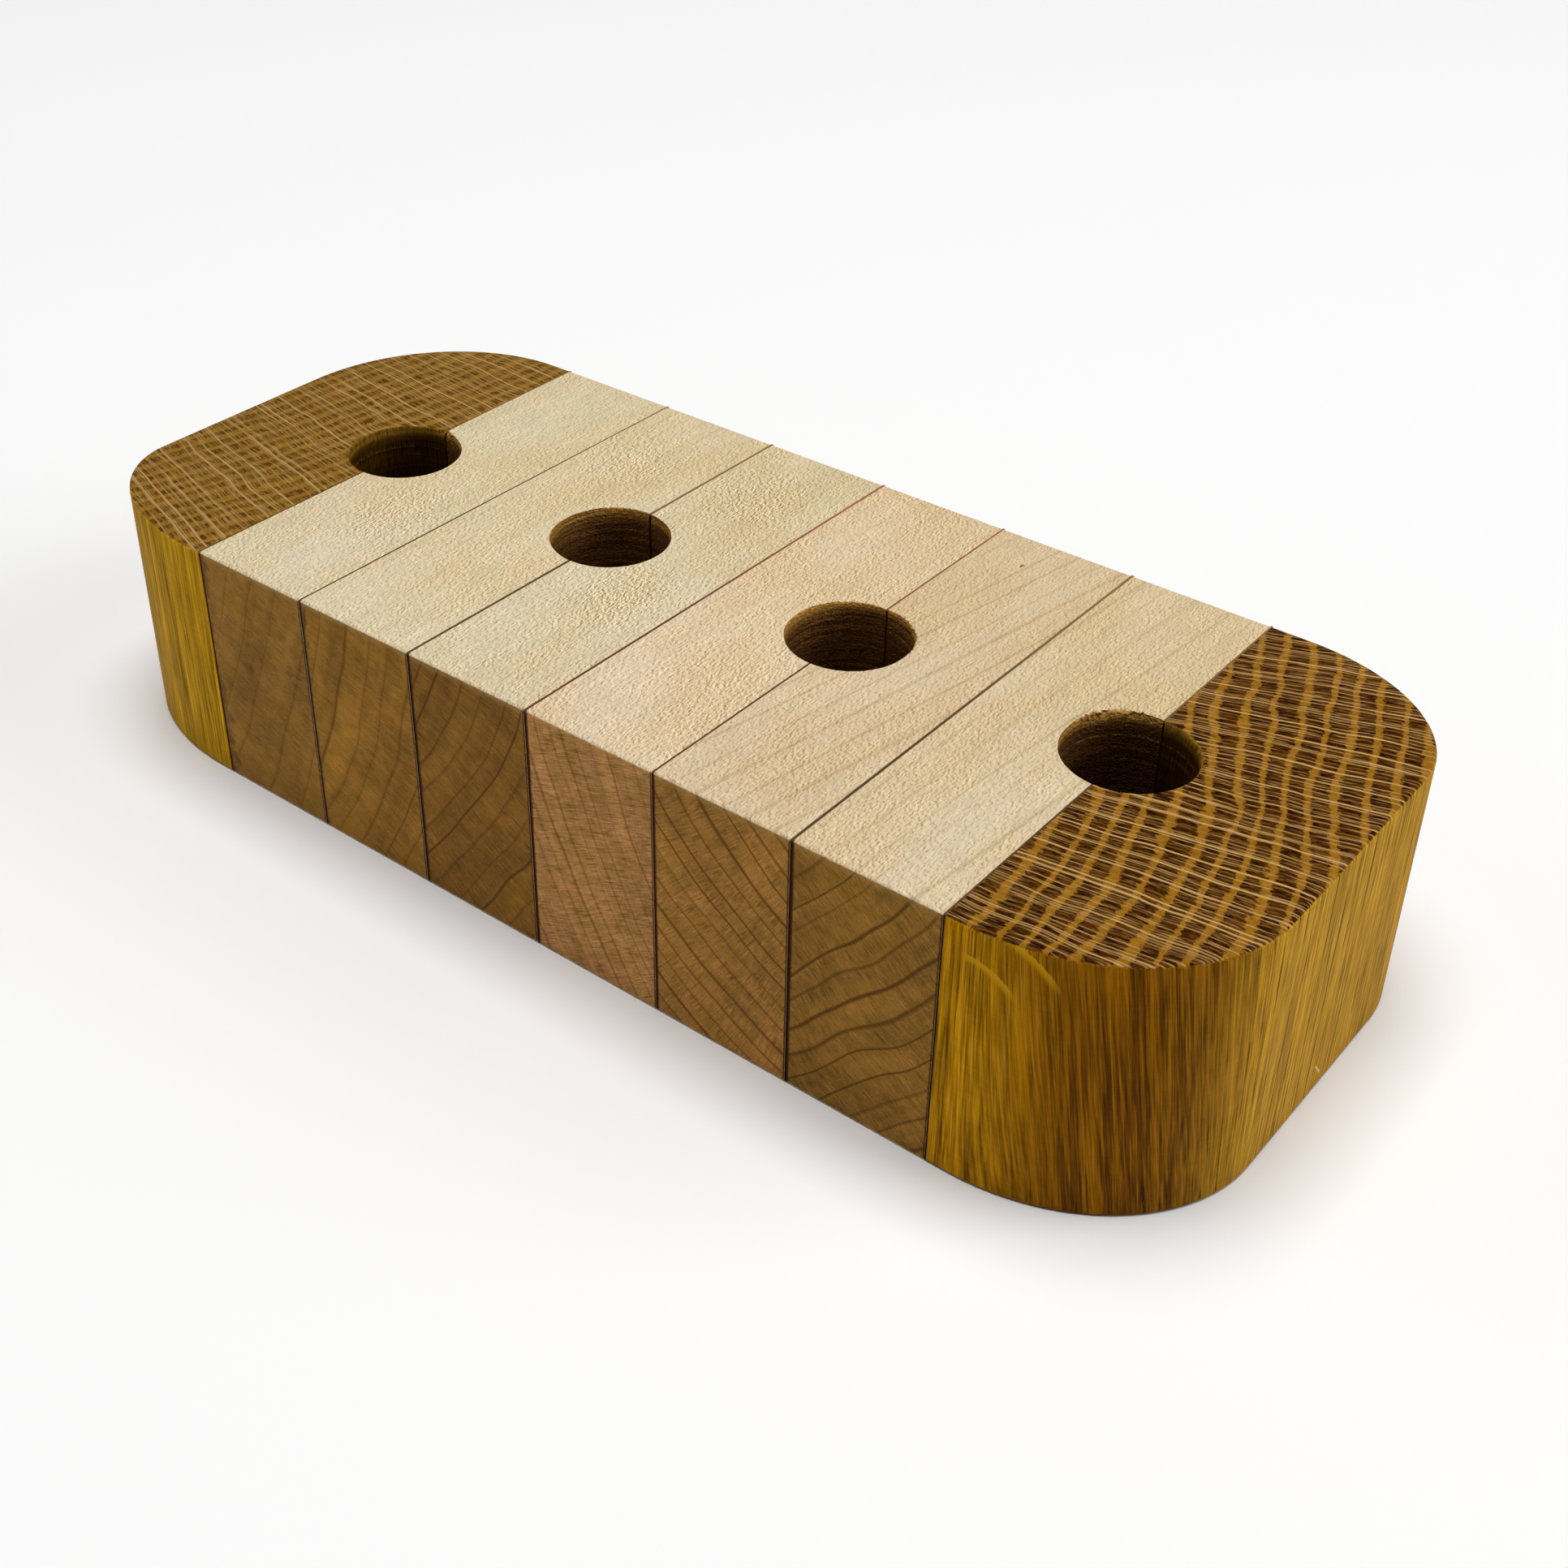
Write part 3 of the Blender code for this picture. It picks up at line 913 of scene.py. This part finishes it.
def settle(obj):
    """Turns the modifiers' result into the object's own mesh, shaded smooth where it is round."""
    bpy.context.view_layer.update()
    graph = bpy.context.evaluated_depsgraph_get()
    mesh = bpy.data.meshes.new_from_object(obj.evaluated_get(graph))
    obj.modifiers.clear()
    obj.data = mesh
    mesh.name = obj.name
    mesh.shade_smooth()
    mesh.set_sharp_from_angle(angle=SHARP_ANGLE)


def nearest_socket(left, right):
    """The number of the socket that this stretch of the block is drilled for."""
    gaps = [max(left - x, x - right, 0.0) for x, _, _ in SOCKETS]
    return gaps.index(min(gaps))


def hand_over(piece, node, material):
    piece.data.materials.clear()
    piece.data.materials.append(material)
    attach(piece, "root")
    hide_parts(node)


def add_woods(envelope, cutters):
    for node in WOODS:
        low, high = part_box(node)
        left = low[0] - (OVERSHOOT if node == WOODS[0] else 0.0)
        right = high[0] + (OVERSHOOT if node == WOODS[-1] else 0.0)
        piece = add_slab(
            f"{node}_wood",
            (left, -HALF_WIDTH - OVERSHOOT, -OVERSHOOT),
            (right, HALF_WIDTH + OVERSHOOT, HEIGHT + OVERSHOOT),
        )
        number = nearest_socket(left, right)
        cut(piece, "INTERSECT", envelope)
        cut(piece, "DIFFERENCE", cutters[number])
        settle(piece)
        socket, tears = SOCKETS[number], TEARS[number]
        if node in OAKS:
            grain = oak_material(f"{node}_grain", OAKS[node], socket, tears)
            hand_over(piece, node, grain)
        else:
            wood = MAPLES[int(node[-1]) - 1]
            grain = maple_material(f"{node}_grain", wood, left, right, socket, tears)
            hand_over(piece, node, grain)


def add_glue_lines(cutters):
    glue = glue_material()
    for i in range(len(WOODS) - 1):
        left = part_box(WOODS[i])[1][0] - GLUE_BITE
        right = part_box(WOODS[i + 1])[0][0] + GLUE_BITE
        film = add_slab(
            f"glue_film_{i + 1}",
            (left, -HALF_WIDTH + GLUE_SIDE_RECESS, GLUE_BASE_RECESS),
            (right, HALF_WIDTH - GLUE_SIDE_RECESS, HEIGHT - GLUE_TOP_RECESS),
        )
        for number, (x, _, _) in enumerate(SOCKETS):
            if left < x < right:
                cut(film, "DIFFERENCE", cutters[number])
        settle(film)
        hand_over(film, f"glue_line_{i + 1}", glue)


def main():
    add_camera()
    add_studio()
    envelope = add_envelope()
    cutters = [add_socket_cutter(number) for number in range(len(SOCKETS))]
    add_woods(envelope, cutters)
    add_glue_lines(cutters)
    for helper in [envelope, *cutters]:
        bpy.data.objects.remove(helper)


main()
